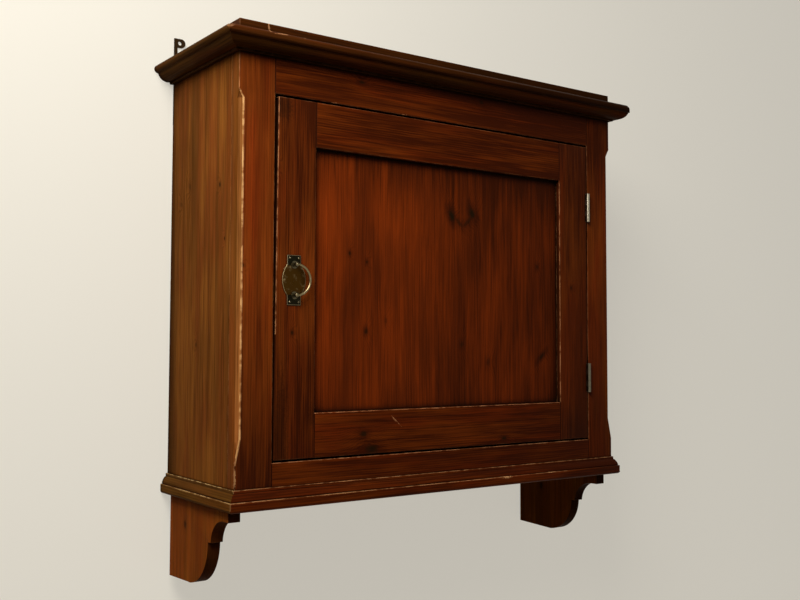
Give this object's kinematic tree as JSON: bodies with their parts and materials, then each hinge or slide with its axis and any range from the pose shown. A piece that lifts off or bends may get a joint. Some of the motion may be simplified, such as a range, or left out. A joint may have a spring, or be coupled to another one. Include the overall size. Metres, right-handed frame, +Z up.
{
  "type": "wall cabinet",
  "caption": "Hanging pine wall cupboard with a mitred cornice, a framed flat-panel door on butt hinges, a brass bail pull, a nosed base and shaped brackets below it.",
  "frame": {"origin": "midway between the two hanging holes, on the wall plane at the back of the case", "axes": "+X to the right as seen from the front, +Y into the wall, +Z up; the front faces -Y"},
  "size_m": [0.8034, 0.2617, 0.8317],
  "materials": {
    "front_pine": "red-brown stain, satin varnish",
    "side_pine": "yellow-brown stain, satin varnish",
    "dark_pine": "dark brown stain, satin varnish",
    "bare_pine": "plain, aged",
    "brass": "tarnished",
    "iron": "blackened"
  },
  "bodies": {
    "case": {"back_board_1": "bare_pine", "back_board_2": "bare_pine", "back_board_3": "bare_pine", "back_board_4": "bare_pine", "back_board_5": "bare_pine", "back_nails": "iron", "base_board": "dark_pine", "base_mould_brads": "iron", "base_mould_front": "dark_pine", "base_mould_left": "dark_pine", "base_mould_right": "dark_pine", "base_nails": "iron", "batten_screws": "iron", "bracket_left": "dark_pine", "bracket_right": "dark_pine", "bracket_screws": "iron", "cornice_brads": "iron", "cornice_front": "dark_pine", "cornice_left": "dark_pine", "cornice_right": "dark_pine", "door_stop_left": "bare_pine", "door_stop_top": "bare_pine", "face_rail_bottom": "front_pine", "face_rail_top": "front_pine", "face_stile_left": "front_pine", "face_stile_right": "front_pine", "frame_hinge_screws": "brass", "frame_nails": "iron", "friction_spring": "brass", "hanger_screws": "iron", "hanging_plate_left": "iron", "hanging_plate_right": "iron", "hinge_lower_frame_leaf": "brass", "hinge_lower_pin": "brass", "hinge_upper_frame_leaf": "brass", "hinge_upper_pin": "brass", "shelf": "bare_pine", "shelf_batten_left": "bare_pine", "shelf_batten_right": "bare_pine", "side_left": "side_pine", "side_right": "side_pine", "spring_pins": "brass", "stop_brads": "iron", "top_board": "front_pine", "top_nails": "iron"},
    "door": {"door_stile_left": "front_pine", "door_stile_right": "front_pine", "door_rail_top": "front_pine", "door_rail_bottom": "front_pine", "door_panel": "front_pine", "hinge_upper_door_leaf": "brass", "hinge_lower_door_leaf": "brass", "door_hinge_screws": "brass", "pull_plate": "brass", "pull_posts": "brass", "pull_pivots": "brass", "pull_pins": "brass"},
    "bail": {"pull_bail": "brass"}
  },
  "joints": [
    {"name": "door_hinge", "type": "hinge", "parent": "case", "child": "door", "pos_m": [0.312, -0.2334, -0.381], "axis": [0, 0, 1], "range_deg": [0, 180]},
    {"name": "bail_pivot", "type": "hinge", "parent": "door", "child": "bail", "pos_m": [-0.281, -0.2399, -0.383], "axis": [0, 0, -1], "range_deg": [0, 180]}
  ]
}
